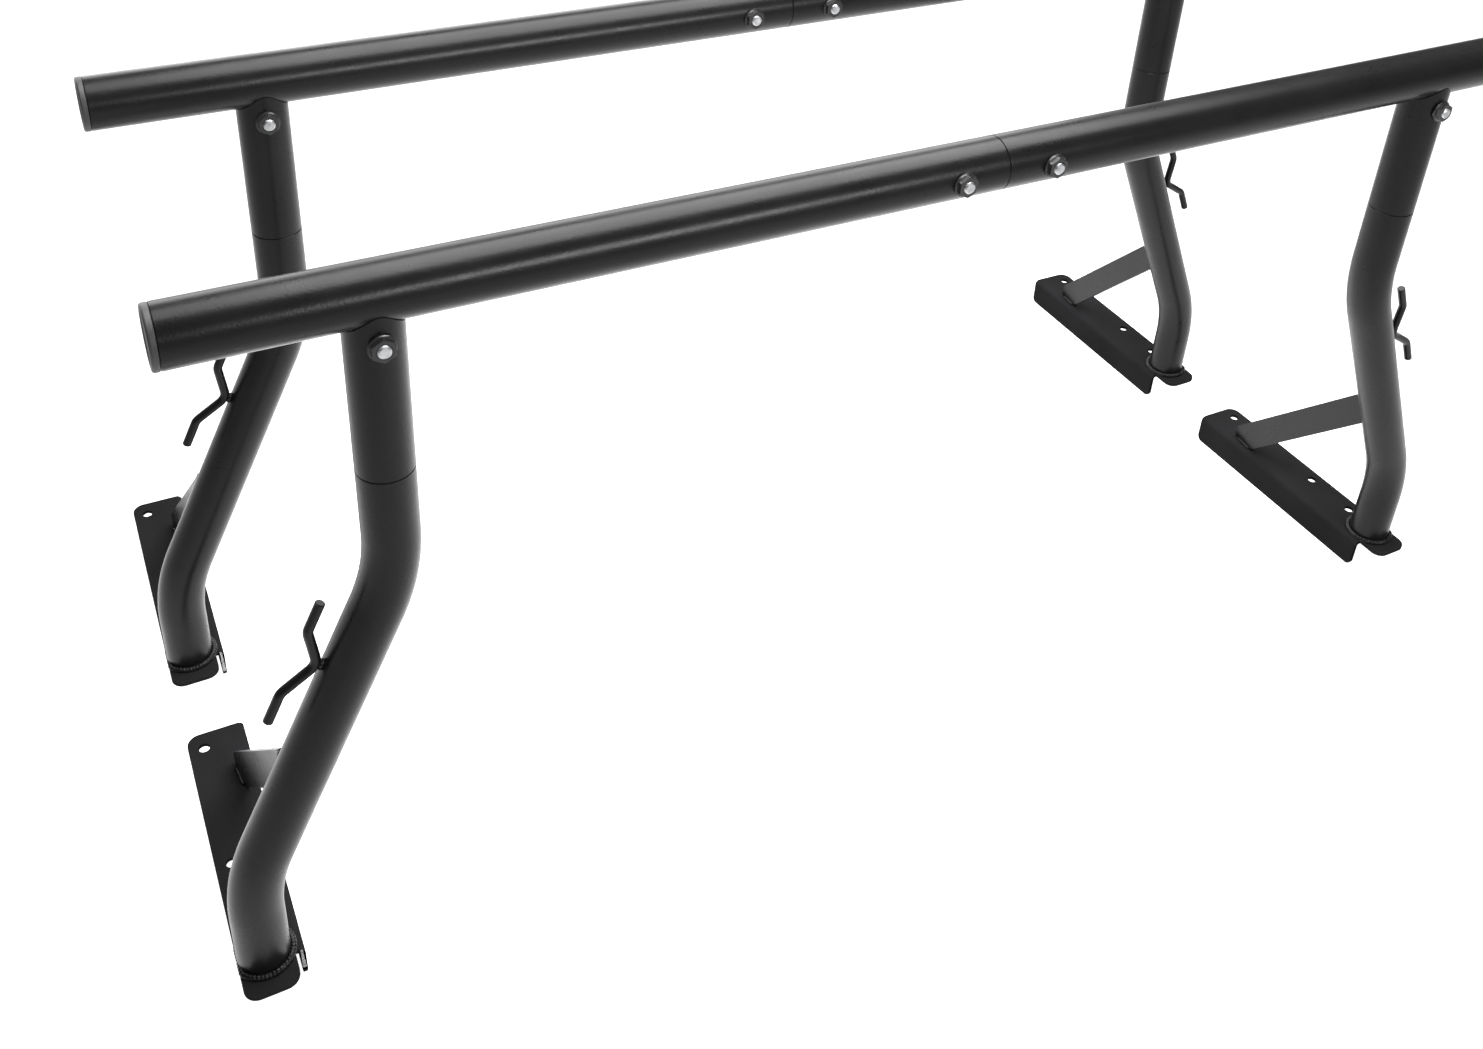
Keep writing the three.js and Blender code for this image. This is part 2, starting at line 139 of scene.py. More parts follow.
# ---------------------------------------------------------------- materials
class Nodes:
    """A short way to write a material's node tree."""

    def __init__(self, name):
        self.material = bpy.data.materials.new(name)
        self.material.use_nodes = True
        self.tree = self.material.node_tree
        self.shader = next(n for n in self.tree.nodes if n.type == "BSDF_PRINCIPLED")
        self.coordinates = self.tree.nodes.new("ShaderNodeTexCoord").outputs["Object"]

    def add(self, kind, inputs=(), **settings):
        node = self.tree.nodes.new(kind)
        for key, value in settings.items():
            setattr(node, key, value)
        for key, value in dict(inputs).items():
            if isinstance(value, bpy.types.NodeSocket):
                self.tree.links.new(value, node.inputs[key])
            else:
                node.inputs[key].default_value = value
        return node

    def noise(self, scale, detail=2.0, roughness=0.5, stretch=None):
        where = self.coordinates
        if stretch:
            where = self.add("ShaderNodeMapping", {"Vector": where, "Scale": stretch}).outputs[0]
        inputs = {"Vector": where, "Scale": scale, "Detail": detail, "Roughness": roughness}
        return self.add("ShaderNodeTexNoise", inputs).outputs["Fac"]

    def spread(self, value, low, high, from_low=0.3, from_high=0.7):
        inputs = {
            "Value": value,
            "From Min": from_low,
            "From Max": from_high,
            "To Min": low,
            "To Max": high,
        }
        return self.add("ShaderNodeMapRange", inputs).outputs[0]

    def mix(self, share, first, second):
        node = self.add("ShaderNodeMix", data_type="RGBA")
        self.tree.links.new(share, node.inputs[0])
        for socket, value in ((node.inputs[6], first), (node.inputs[7], second)):
            if isinstance(value, bpy.types.NodeSocket):
                self.tree.links.new(value, socket)
            else:
                socket.default_value = (*value, 1)
        return node.outputs[2]

    def bump(self, height, strength, distance, below=None):
        inputs = {"Height": height, "Strength": strength, "Distance": distance}
        if below:
            inputs["Normal"] = below
        return self.add("ShaderNodeBump", inputs).outputs[0]

    def set(self, **sockets):
        for key, value in sockets.items():
            socket = self.shader.inputs[key.replace("_", " ")]
            if isinstance(value, bpy.types.NodeSocket):
                self.tree.links.new(value, socket)
            else:
                socket.default_value = value
        return self.material


def powder_coat(name, shade=0.0055, gloss=0.29, sheen=0.16):
    """Semi-gloss black powder coat: orange peel, a finer grain, and faint cloudiness."""
    n = Nodes(name)
    cloud = n.noise(9.0, 3.0)
    speck = n.noise(900.0, 2.0, 0.7)
    dust = n.spread(speck, 0.0, 0.5, 0.66, 0.80)
    dark, light = (shade * 0.85,) * 3, (shade * 1.15, shade * 1.15, shade * 1.22)
    colour = n.mix(dust, n.mix(n.spread(cloud, 0, 1), dark, light), (shade * 3.5,) * 3)
    peel = n.noise(420.0, 1.5)
    grain = n.noise(2600.0, 1.0)
    relief = n.bump(grain, 0.12, 0.0001, n.bump(peel, 0.25, 0.0004))
    roughness = n.spread(n.noise(30.0, 4.0, 0.6), gloss - 0.03, gloss + 0.04)
    return n.set(
        Base_Color=colour, Roughness=roughness, Normal=relief, IOR=1.5, Specular_IOR_Level=sheen
    )


def cap_plastic(name):
    """Moulded black plastic with a spark-eroded grain."""
    n = Nodes(name)
    grain = n.noise(1500.0, 2.0, 0.6)
    tone = n.mix(n.spread(n.noise(14.0, 3.0), 0, 1), (0.017,) * 3, (0.024,) * 3)
    return n.set(
        Base_Color=tone,
        Roughness=n.spread(grain, 0.46, 0.60),
        Normal=n.bump(grain, 0.25, 0.0002),
    )


def zinc_plate(name):
    """Bright zinc plate, with fine scratches and a slightly mottled passivation."""
    n = Nodes(name)
    mottle = n.noise(160.0, 3.0, 0.6)
    tone = n.mix(n.spread(mottle, 0, 1), (0.30, 0.305, 0.315), (0.52, 0.525, 0.53))
    scratch = n.noise(900.0, 2.0, 0.6, stretch=(1, 7, 1))
    return n.set(
        Base_Color=tone,
        Metallic=1.0,
        Roughness=n.spread(mottle, 0.34, 0.48),
        Normal=n.bump(scratch, 0.2, 0.0001),
    )


def bare_steel(name):
    """Drawn steel tube, lightly oiled, with lines along its length."""
    n = Nodes(name)
    lines = n.noise(600.0, 3.0, 0.6, stretch=(0.04, 1, 1))
    tone = n.mix(n.spread(n.noise(22.0, 4.0), 0, 1), (0.30, 0.30, 0.31), (0.42, 0.42, 0.42))
    return n.set(
        Base_Color=tone,
        Metallic=1.0,
        Roughness=n.spread(lines, 0.30, 0.46),
        Normal=n.bump(lines, 0.2, 0.0001),
    )


MATERIALS = {
    # The brackets' copy of the coat has its sheen turned off and a base colour over twice as light,
    # standing in for the reflected light it no longer shows: painted sheen.
    "sheet_coat_painted_sheen": powder_coat("sheet_coat_painted_sheen", 0.013, 0.45, 0.0),
    "powder_coat": powder_coat("powder_coat"),
    "black_nut": powder_coat("black_nut", shade=0.016, gloss=0.24, sheen=0.34),
    "cap_plastic": cap_plastic("cap_plastic"),
    "zinc": zinc_plate("zinc"),
    "bare_steel": bare_steel("bare_steel"),
}


# ---------------------------------------------------------------- mesh tools
def rings_to_mesh(rings, closed_loop):
    """A surface through rings of equal length; the last joins the first if closed_loop."""
    bm = bmesh.new()
    made = [[bm.verts.new(p) for p in ring] for ring in rings]
    count = len(made[0])
    pairs = list(zip(made, made[1:]))
    if closed_loop:
        pairs.append((made[-1], made[0]))
    for a, b in pairs:
        for i in range(count):
            j = (i + 1) % count
            bm.faces.new((a[i], a[j], b[j], b[i]))
    if not closed_loop:
        bm.faces.new(list(reversed(made[0])))
        bm.faces.new(made[-1])
    bmesh.ops.recalc_face_normals(bm, faces=bm.faces)
    return bm


def circle(centre, along, radius, count=ROUND):
    """Points round a circle whose plane is square to a heading in the X-Z plane."""
    side = Vector((0, 1, 0))
    if abs(along.normalized().dot(side)) > 0.9:
        side = Vector((0, 0, 1))
    across = side.cross(along).normalized()
    turns = (2 * math.pi * k / count for k in range(count))
    return [centre + (across * math.cos(t) + side * math.sin(t)) * radius for t in turns]


def turned(profile, start, along, count=ROUND):
    """A closed profile of (distance along, radius) turned about an axis."""
    axis = along.normalized()
    rings = [circle(start + axis * a, axis, r, count) for a, r in profile]
    return rings_to_mesh(rings, closed_loop=True)


def turned_solid(profile, start, along, count=ROUND):
    """The same with flat ends: the profile runs from one end face to the other."""
    axis = along.normalized()
    rings = [circle(start + axis * a, axis, r, count) for a, r in profile]
    return rings_to_mesh(rings, closed_loop=False)


def arc_profile(centre, radius, first, last, steps):
    """Points (along, radius) on an arc, with angles in degrees."""
    turns = [math.radians(first + (last - first) * k / steps) for k in range(steps + 1)]
    return [(centre[0] + radius * math.cos(t), centre[1] + radius * math.sin(t)) for t in turns]


def bent_path(corners, radius, steps=14, straight=6):
    """Stations (point, heading) along a polyline whose corners are rounded."""
    stations = []
    at = corners[0]
    for i in range(1, len(corners) - 1):
        into = (corners[i] - corners[i - 1]).normalized()
        out = (corners[i + 1] - corners[i]).normalized()
        turn = into.angle(out)
        reach = radius * math.tan(turn / 2)
        start = corners[i] - into * reach
        stations += [(at.lerp(start, k / straight), into) for k in range(straight)]
        centre = corners[i] + (out - into).normalized() * (radius / math.cos(turn / 2))
        axis = into.cross(out).normalized()
        for k in range(steps + 1):
            spin = Matrix.Rotation(turn * k / steps, 3, axis)
            stations.append((centre + spin @ (start - centre), spin @ into))
        at = corners[i] + out * reach
    last = (corners[-1] - corners[-2]).normalized()
    stations += [(at.lerp(corners[-1], k / straight), last) for k in range(1, straight + 1)]
    return stations


def outline_solid(outline, thickness, matrix):
    """A flat outline given depth, placed by a matrix."""
    bm = bmesh.new()
    face = bm.faces.new([bm.verts.new((x, y, 0)) for x, y in outline])
    up = bmesh.ops.extrude_face_region(bm, geom=[face])["geom"]
    bmesh.ops.translate(
        bm, vec=(0, 0, thickness), verts=[v for v in up if isinstance(v, bmesh.types.BMVert)]
    )
    bmesh.ops.recalc_face_normals(bm, faces=bm.faces)
    bm.transform(matrix)
    return bm


def arc_points(centre, radius, first, last, steps=8):
    turns = [math.radians(first + (last - first) * k / steps) for k in range(steps + 1)]
    return [(centre[0] + radius * math.cos(t), centre[1] + radius * math.sin(t)) for t in turns]


def to_object(bm, name):
    mesh = bpy.data.meshes.new(name)
    bm.to_mesh(mesh)
    bm.free()
    made = bpy.data.objects.new(name, mesh)
    bpy.context.scene.collection.objects.link(made)
    return made


def apply_modifiers(obj):
    evaluated = obj.evaluated_get(bpy.context.evaluated_depsgraph_get())
    mesh = bpy.data.meshes.new_from_object(evaluated)
    old = obj.data
    obj.modifiers.clear()
    obj.data = mesh
    bpy.data.meshes.remove(old)


def joined(base, others, operation):
    """Joins other solids to one, or cuts them out of it."""
    target = to_object(base, "work")
    tools = [to_object(b, "tool") for b in others]
    for tool in tools:
        step = target.modifiers.new("step", "BOOLEAN")
        step.operation = operation
        step.solver = "EXACT"
        step.object = tool
    apply_modifiers(target)
    bm = bmesh.new()
    bm.from_mesh(target.data)
    for obj in (target, *tools):
        mesh = obj.data
        bpy.data.objects.remove(obj)
        bpy.data.meshes.remove(mesh)
    bmesh.ops.remove_doubles(bm, verts=bm.verts, dist=1e-6)
    bmesh.ops.dissolve_degenerate(bm, edges=bm.edges, dist=1e-7)
    return bm


def bevelled(bm, width, segments=2, angle=38):
    """Rounds the sharp edges."""
    obj = to_object(bm, "work")
    step = obj.modifiers.new("bevel", "BEVEL")
    step.width = width
    step.segments = segments
    step.limit_method = "ANGLE"
    step.angle_limit = math.radians(angle)
    step.harden_normals = False
    apply_modifiers(obj)
    out = bmesh.new()
    out.from_mesh(obj.data)
    mesh = obj.data
    bpy.data.objects.remove(obj)
    bpy.data.meshes.remove(mesh)
    return out


FLAT_FACED = ("base_bracket", "brace", "leg_bolt", "sleeve_bolt", "leg_nut", "sleeve_nut")
SHEET_PIECES = ("base_bracket",)


def place(bm, name, hoop, side, node, slot, body=None, smooth=32):
    """Puts a piece, made in the right leg's frame, at its hoop and side."""
    mirror = SIDES.get(side, 1)
    work = bm.copy()
    work.transform(Matrix.Diagonal((mirror, 1, 1, 1)))
    if mirror < 0:
        bmesh.ops.reverse_faces(work, faces=work.faces)
    work.transform(Matrix.Translation((0, HOOP_Y[hoop], BAR_HEIGHT)))
    obj = to_object(work, name)
    for polygon in obj.data.polygons:
        polygon.use_smooth = True
    obj.data.set_sharp_from_angle(angle=math.radians(smooth))
    if name.endswith(FLAT_FACED):
        step = obj.modifiers.new("flat_faces", "WEIGHTED_NORMAL")
        step.keep_sharp = True
    # Brackets take the matte copy whose lighter base colour is painted sheen.
    coat = "sheet_coat_painted_sheen" if name.endswith(SHEET_PIECES) else slot
    obj.data.materials.append(MATERIALS[coat])
    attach(obj, body or f"{hoop}_{side}")
    if node:
        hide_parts(node)
    return obj


# ---------------------------------------------------------------- tubes
RIM = 0.0006


def straight_tube(start, end, outer, inner):
    """A closed profile for a tube with its four end edges eased."""
    ease = RIM
    marks = [start + ease]
    marks += [m for m in BAR_LOOPS if start + ease < m < end - ease]
    marks.append(end - ease)
    outside = [(m, outer) for m in marks]
    inside = [(m, inner) for m in reversed(marks)]
    return [
        (start, outer - ease),
        *outside,
        (end, outer - ease),
        (end, inner + ease),
        *inside,
        (start, inner + ease),
    ]


BAR_LOOPS = [
    SLEEVE_BOLT_X - 0.011,
    SLEEVE_BOLT_X + 0.011,
    0.2,
    0.35,
    LEG_X - 0.06,
    LEG_X + 0.06,
]


def bolt_hole(x, z, radius=HOLE_R):
    start = Vector((x, -2 * BAR_R, z))
    return turned_solid([(0, radius), (4 * BAR_R, radius)], start, Vector((0, 1, 0)), 40)


def crossbar():
    profile = straight_tube(BAR_START, CAP_SEAT, BAR_R, BAR_R - BAR_WALL)
    tube = turned(profile, Vector((0, 0, 0)), Vector((1, 0, 0)))
    return joined(tube, [bolt_hole(SLEEVE_BOLT_X, 0)], "DIFFERENCE")


def crossbar_sleeve():
    """The hidden inner tube: a hole on one side of the middle, a slot on the other."""
    outer = (sleeve_high.z - sleeve_low.z) / 2
    half = (sleeve_high.x - sleeve_low.x) / 2
    profile = straight_tube(-half, half, outer, outer - SLEEVE_WALL)
    tube = turned(profile, Vector((0, 0, 0)), Vector((1, 0, 0)))
    first, last = SLEEVE_BOLT_X, SLEEVE_BOLT_X + WIDTH_TRAVEL
    outline = [
        *arc_points((last, 0), HOLE_R, -90, 90, 16),
        *arc_points((first, 0), HOLE_R, 90, 270, 16),
    ]
    upright = Matrix(((1, 0, 0, 0), (0, 0, -1, 2 * BAR_R), (0, 1, 0, 0), (0, 0, 0, 1)))
    slot = outline_solid(outline, 4 * BAR_R, upright)
    return joined(tube, [bolt_hole(-SLEEVE_BOLT_X, 0), slot], "DIFFERENCE")


def end_cap():
    """A plug with a rounded rim and a shallow dish in its face."""
    bore = BAR_R - BAR_WALL - GAP
    head = CAP_SEAT + GAP
    profile = [
        (head - 0.024, bore - 0.003),
        (head - 0.024, bore - 0.0006),
        (head - 0.0226, bore),
        (head, bore),
        (head, BAR_R - 0.0005),
        (head + 0.0005, BAR_R),
        *arc_profile((CAP_END - 0.0022, BAR_R - 0.0022), 0.0022, 90, 0, 6),
        (CAP_END, BAR_R - 0.0045),
        (CAP_END - 0.0006, BAR_R - 0.0054),
        (CAP_END - 0.0012, BAR_R - 0.0064),
        (CAP_END - 0.0013, 0.012),
        (CAP_END - 0.0013, 0.0005),
        (head - 0.0008, 0.0005),
        (head - 0.001, bore - 0.003),
    ]
    axis = Vector((1, 0, 0))
    rings = [circle(axis * a, axis, r) for a, r in profile]
    bm = rings_to_mesh(rings, closed_loop=True)
    centre = [v for v in bm.verts if math.hypot(v.co.y, v.co.z) < 0.0006]
    for at in (CAP_END - 0.0013, head - 0.0008):
        near = [v for v in centre if v.is_valid and abs(v.co.x - at) < 1e-5]
        bmesh.ops.pointmerge(bm, verts=near, merge_co=(at, 0, 0))
    loose = [e for e in bm.edges if not e.link_faces]
    bmesh.ops.delete(bm, geom=loose, context="EDGES")
    return bm


def coped_tube(outer, inner, bottom, count=ROUND):
    """An upright tube whose top follows the round of the crossbar."""
    clear = BAR_R + GAP
    turns = [2 * math.pi * k / count for k in range(count)]

    def ring(radius, height):
        points = []
        for t in turns:
            x, y = radius * math.cos(t), radius * math.sin(t)
            z = -math.sqrt(clear**2 - y**2) + height if height is not None and height <= 0 else height
            points.append(Vector((LEG_X + x, y, z)))
        return points

    def level(radius, z):
        return [Vector((LEG_X + radius * math.cos(t), radius * math.sin(t), z)) for t in turns]

    steps = (-0.034, -0.058, -0.09, -0.125)
    low = [z for z in steps if z > bottom + 0.01]
    rings = [
        ring(outer - RIM, 0.0),
        ring(outer, -RIM),
        *[level(outer, z - 0.012) for z in low],
        level(outer, bottom + RIM),
        level(outer - RIM, bottom),
        level(inner + RIM, bottom),
        level(inner, bottom + RIM),
        *[level(inner, z - 0.012) for z in reversed(low)],
        ring(inner, -RIM),
        ring(inner + RIM, 0.0),
    ]
    return rings_to_mesh(rings, closed_loop=True)


def upper_leg():
    tube = coped_tube(LEG_R, LEG_R - LEG_WALL, SEAM)
    return joined(tube, [bolt_hole(LEG_X, -LEG_BOLT_DROP)], "DIFFERENCE")


def lower_leg():
    """The bent tube, drawn as an outer and an inner skin with eased ends."""
    foot = LEG_X + FOOT_OFFSET
    corners = [
        Vector((LEG_X, 0, SEAM - GAP)),
        Vector((LEG_X, 0, TOP_BEND)),
        Vector((foot, 0, FOOT_BEND)),
        Vector((foot, 0, PLATE_TOP + GAP)),
    ]
    stations = bent_path(corners, LEG_BEND_RADIUS)
    first, last = stations[0], stations[-1]
    outer, inner = LEG_R, LEG_R - LEG_WALL
    eased_first = (first[0] + first[1] * RIM, first[1])
    eased_last = (last[0] - last[1] * RIM, last[1])
    body = [eased_first, *stations[1:-1], eased_last]
    rings = [circle(first[0], first[1], outer - RIM)]
    rings += [circle(p, h, outer) for p, h in body]
    rings += [circle(last[0], last[1], outer - RIM), circle(last[0], last[1], inner + RIM)]
    rings += [circle(p, h, inner) for p, h in reversed(body)]
    rings += [circle(first[0], first[1], inner + RIM)]
    return rings_to_mesh(rings, closed_loop=True)


# ---------------------------------------------------------------- base bracket and brace
def base_bracket():
    corner = BASE_CORNER
    fold_x = BASE_INNER + FOLD_RADIUS
    outline = [
        (fold_x, FLANGE_NEAR),
        (TONGUE_INNER, FLANGE_NEAR),
        *arc_points((TONGUE_INNER + corner, BASE_NEAR + corner), corner, 180, 270),
        *arc_points((BASE_OUTER - corner, BASE_NEAR + corner), corner, 270, 360),
        *arc_points((BASE_OUTER - corner, BASE_FAR - corner), corner, 0, 90),
        (fold_x, BASE_FAR),
    ]
    plate = outline_solid(outline, PLATE_SHEET, Matrix.Translation((0, 0, PLATE_TOP - PLATE_SHEET)))
    inner_fold = FOLD_RADIUS - PLATE_SHEET
    overlap = fold_x + 0.002
    bend = (fold_x, PLATE_TOP - FOLD_RADIUS)
    section = [
        (BASE_INNER, FLANGE_BOTTOM),
        (BASE_INNER + PLATE_SHEET, FLANGE_BOTTOM),
        *arc_points(bend, inner_fold, 180, 90, 6),
        (overlap, PLATE_TOP - PLATE_SHEET),
        (overlap, PLATE_TOP),
        *arc_points(bend, FOLD_RADIUS, 90, 180, 10),
    ]
    upright = Matrix(((1, 0, 0, 0), (0, 0, -1, BASE_FAR), (0, 1, 0, 0), (0, 0, 0, 1)))
    fold = outline_solid(section, BASE_FAR - FLANGE_NEAR, upright)
    r = FLANGE_CORNER
    side = [
        (FLANGE_NEAR, PLATE_TOP + 0.001),
        *arc_points((FLANGE_NEAR + r, FLANGE_BOTTOM + r), r, 180, 270),
        *arc_points((BASE_FAR - r, FLANGE_BOTTOM + r), r, 270, 360),
        (BASE_FAR, PLATE_TOP + 0.001),
    ]
    sideways = Matrix(((0, 0, 1, BASE_INNER - 0.001), (1, 0, 0, 0), (0, 1, 0, 0), (0, 0, 0, 1)))
    blank = outline_solid(side, overlap - BASE_INNER + 0.002, sideways)
    flange = joined(fold, [blank], "INTERSECT")
    whole = joined(plate, [flange], "UNION")
    holes = []
    for y in BASE_HOLES:
        start = Vector((BASE_HOLE_X, y, PLATE_TOP - 0.02))
        holes.append(turned_solid([(0, BASE_HOLE_R), (0.04, BASE_HOLE_R)], start, Vector((0, 0, 1)), 48))
    return bevelled(joined(whole, holes, "DIFFERENCE"), 0.0005)


def brace():
    run = BRACE_HEAD - BRACE_FOOT
    length = run.length
    along = run.normalized()
    thick = along.cross(Vector((0, 0, 1))).normalized()
    wide = thick.cross(along)
    r = BRACE_WIDTH / 2
    outline = [(length, r), (0, r), *arc_points((0, 0), r, 90, 270, 24)[1:-1], (0, -r), (length, -r)]
    basis = Matrix((along, wide, thick)).transposed().to_4x4()
    matrix = Matrix.Translation(BRACE_FOOT) @ basis @ Matrix.Translation((0, 0, -BRACE_SHEET / 2))
    strip = outline_solid(outline, BRACE_SHEET, matrix)
    start, end = on_slant(-TOP_BEND), on_slant(-FOOT_BEND)
    span = (end - start).length
    leg = turned_solid([(0, LEG_R + GAP), (span, LEG_R + GAP)], start, end - start, ROUND)
    square = [(x, y) for x, y in ((-1, -1), (1, -1), (1, 1), (-1, 1))]
    below = outline_solid(
        [(BRACE_FOOT.x + x * BRACE_WIDTH, BRACE_FOOT.y + y * BRACE_WIDTH) for x, y in square],
        BRACE_WIDTH,
        Matrix.Translation((0, 0, PLATE_TOP + GAP - BRACE_WIDTH)),
    )
    return bevelled(joined(strip, [leg, below], "DIFFERENCE"), 0.0005)


# ---------------------------------------------------------------- rope hook
def hook_point(down, out):
    return on_slant(HOOK_DROP) + SLANT_DOWN * down + SLANT_OUT * out


def rope_hook():
    corners = [
        hook_point(-HOOK_TIP, HOOK_REACH),
        hook_point(-HOOK_ELBOW, HOOK_REACH),
        hook_point(0, HOOK_WAIST),
        hook_point(HOOK_ELBOW, HOOK_REACH),
        hook_point(HOOK_TIP, HOOK_REACH),
    ]
    stations = bent_path(corners, HOOK_BEND_RADIUS, steps=10, straight=4)
    ease = 0.0008
    first, last = stations[0], stations[-1]
    rings = [circle(first[0], first[1], HOOK_R - ease, 28)]
    rings += [circle(first[0] + first[1] * ease, first[1], HOOK_R, 28)]
    rings += [circle(p, h, HOOK_R, 28) for p, h in stations[1:-1]]
    rings += [circle(last[0] - last[1] * ease, last[1], HOOK_R, 28)]
    rings += [circle(last[0], last[1], HOOK_R - ease, 28)]
    return rings_to_mesh(rings, closed_loop=False)


# ---------------------------------------------------------------- fasteners
def hexagon_between(low, high, flats, chamfer_low, chamfer_high):
    """A hexagonal prism about Y with its corners turned off at either end."""
    corner = flats / math.sqrt(3)
    turns = [math.radians(30 + 60 * k) for k in range(6)]
    outline = [(corner * math.cos(t), corner * math.sin(t)) for t in turns]
    upright = Matrix(((1, 0, 0, 0), (0, 0, 1, low), (0, 1, 0, 0), (0, 0, 0, 1)))
    prism = outline_solid(outline, high - low, upright)
    drop = (corner - flats / 2) * 0.62
    profile = [
        (low - 0.001, corner + 0.002) if not chamfer_low else (low, flats / 2 - 0.0003),
        (low + drop, corner + 0.0008),
        (high - drop, corner + 0.0008),
        (high + 0.001, corner + 0.002) if not chamfer_high else (high, flats / 2 - 0.0003),
    ]
    turning = turned_solid(profile, Vector((0, 0, 0)), Vector((0, 1, 0)), 60)
    return joined(prism, [turning], "INTERSECT")


def through_bolt(radius):
    """Bolt with its head on the far side; the near end shows chamfered, threaded."""
    seat = radius + GAP
    tip = -(seat + NUT_HEIGHT + BOLT_PROUD)
    pitch, depth = 0.00175, 0.0005
    profile = [(tip, BOLT_R - 0.0015), (tip + 0.001, BOLT_R - 0.0003)]
    at = tip + 0.0014
    while at < tip + 0.012:
        profile += [(at, BOLT_R - depth), (at + pitch / 2, BOLT_R)]
        at += pitch
    profile += [(at, BOLT_R - 0.0001), (seat + BOLT_HEAD / 2, BOLT_R - 0.0001)]
    shank = turned_solid(profile, Vector((0, 0, 0)), Vector((0, 1, 0)), 36)
    head = hexagon_between(seat, seat + BOLT_HEAD, NUT_FLATS, False, True)
    return joined(shank, [head], "UNION")


def flanged_nut(radius):
    seat = -(radius + GAP)
    near = seat - NUT_HEIGHT
    hexagon = hexagon_between(near, seat - 0.0004, NUT_FLATS, True, False)
    flange = [
        (seat - NUT_FLANGE - 0.0006, NUT_FLATS / 2 - 0.001),
        (seat - NUT_FLANGE, NUT_FLANGE_R - 0.001),
        (seat - NUT_FLANGE + 0.0006, NUT_FLANGE_R),
        (seat, NUT_FLANGE_R),
    ]
    skirt = turned_solid(flange, Vector((0, 0, 0)), Vector((0, 1, 0)), 60)
    hole = turned_solid(
        [(near - 0.002, BOLT_R + 0.0004), (seat + 0.002, BOLT_R + 0.0004)],
        Vector((0, 0, 0)),
        Vector((0, 1, 0)),
        36,
    )
    return joined(joined(hexagon, [skirt], "UNION"), [hole], "DIFFERENCE")


# ---------------------------------------------------------------- welds
def bead(points, radius, closed, ripple=0.0030, height=0.22, count=14):
    """A weld bead along points, swelling at each ripple."""
    path = [Vector(p) for p in points]
    total = len(path)
    rings = []
    travelled = 0.0
    for i, at in enumerate(path):
        before = path[(i - 1) % total] if closed or i else at
        after = path[(i + 1) % total] if closed or i < total - 1 else at
        heading = (after - before).normalized()
        if i:
            travelled += (at - path[i - 1]).length
        swell = 1 + height * (abs(math.sin(math.pi * travelled / ripple)) - 0.6)
        if not closed:
            edge = min(i, total - 1 - i) / 3
            swell *= min(1.0, 0.45 + 0.55 * edge)
        side = heading.orthogonal() if abs(heading.z) > 0.95 else heading.cross(Vector((0, 0, 1)))
        side.normalize()
        up = side.cross(heading).normalized()
        turns = (2 * math.pi * k / count for k in range(count))
        rings.append([at + (side * math.cos(t) + up * math.sin(t)) * radius * swell for t in turns])
    return rings_to_mesh(rings, closed_loop=closed)


def foot_weld():
    """Round the foot, on the plate."""
    foot = LEG_X + FOOT_OFFSET
    reach, count = LEG_R + 0.0020, 180
    points = []
    for k in range(count):
        t = 2 * math.pi * k / count
        x = foot + reach * math.cos(t)
        points.append((min(x, BASE_OUTER - 0.0030), reach * math.sin(t), PLATE_TOP + 0.0012))
    return bead(points, 0.0036, closed=True, ripple=0.0036)


def brace_foot_weld(sign):
    """Along the round end of the brace where it meets the plate, on one face."""
    run = (BRACE_HEAD - BRACE_FOOT).normalized()
    flat = Vector((run.x, run.y, 0)).normalized()
    thick = run.cross(Vector((0, 0, 1))).normalized() * sign
    middle = Vector((BRACE_FOOT.x, BRACE_FOOT.y, PLATE_TOP + 0.001))
    offset = thick * (BRACE_SHEET / 2 + 0.0008)
    points = [middle + offset + flat * (-0.011 + 0.026 * k / 40) for k in range(41)]
    return bead(points, 0.0022, closed=False)


def hook_weld():
    """A short fillet that joins the hook's waist to the leg."""
    points = [hook_point(-0.006 + 0.012 * k / 16, LEG_R + 0.0014) for k in range(17)]
    return bead(points, 0.0032, closed=False, ripple=0.004)


def brace_head_weld():
    """Down one face of the brace where it runs into the back of the leg."""
    run = (BRACE_HEAD - BRACE_FOOT).normalized()
    thick = run.cross(Vector((0, 0, 1))).normalized()
    wide = thick.cross(run)
    axis_at, axis_way = on_slant(-TOP_BEND), SLANT_DOWN
    points = []
    for k in range(41):
        line = BRACE_FOOT + wide * (BRACE_WIDTH * (0.5 - k / 40)) - thick * (BRACE_SHEET / 2)
        start = line - axis_at
        a = run - axis_way * run.dot(axis_way)
        b = start - axis_way * start.dot(axis_way)
        qa, qb = a.dot(a), 2 * a.dot(b)
        qc = b.dot(b) - (LEG_R + 0.0012) ** 2
        root = qb * qb - 4 * qa * qc
        if root > 0:
            points.append(line + run * ((-qb - math.sqrt(root)) / (2 * qa)))
    return bead(points, 0.0020, closed=False)


# ---------------------------------------------------------------- the pieces
def shifted(bm, x, z):
    bm.transform(Matrix.Translation((x, 0, z)))
    return bm


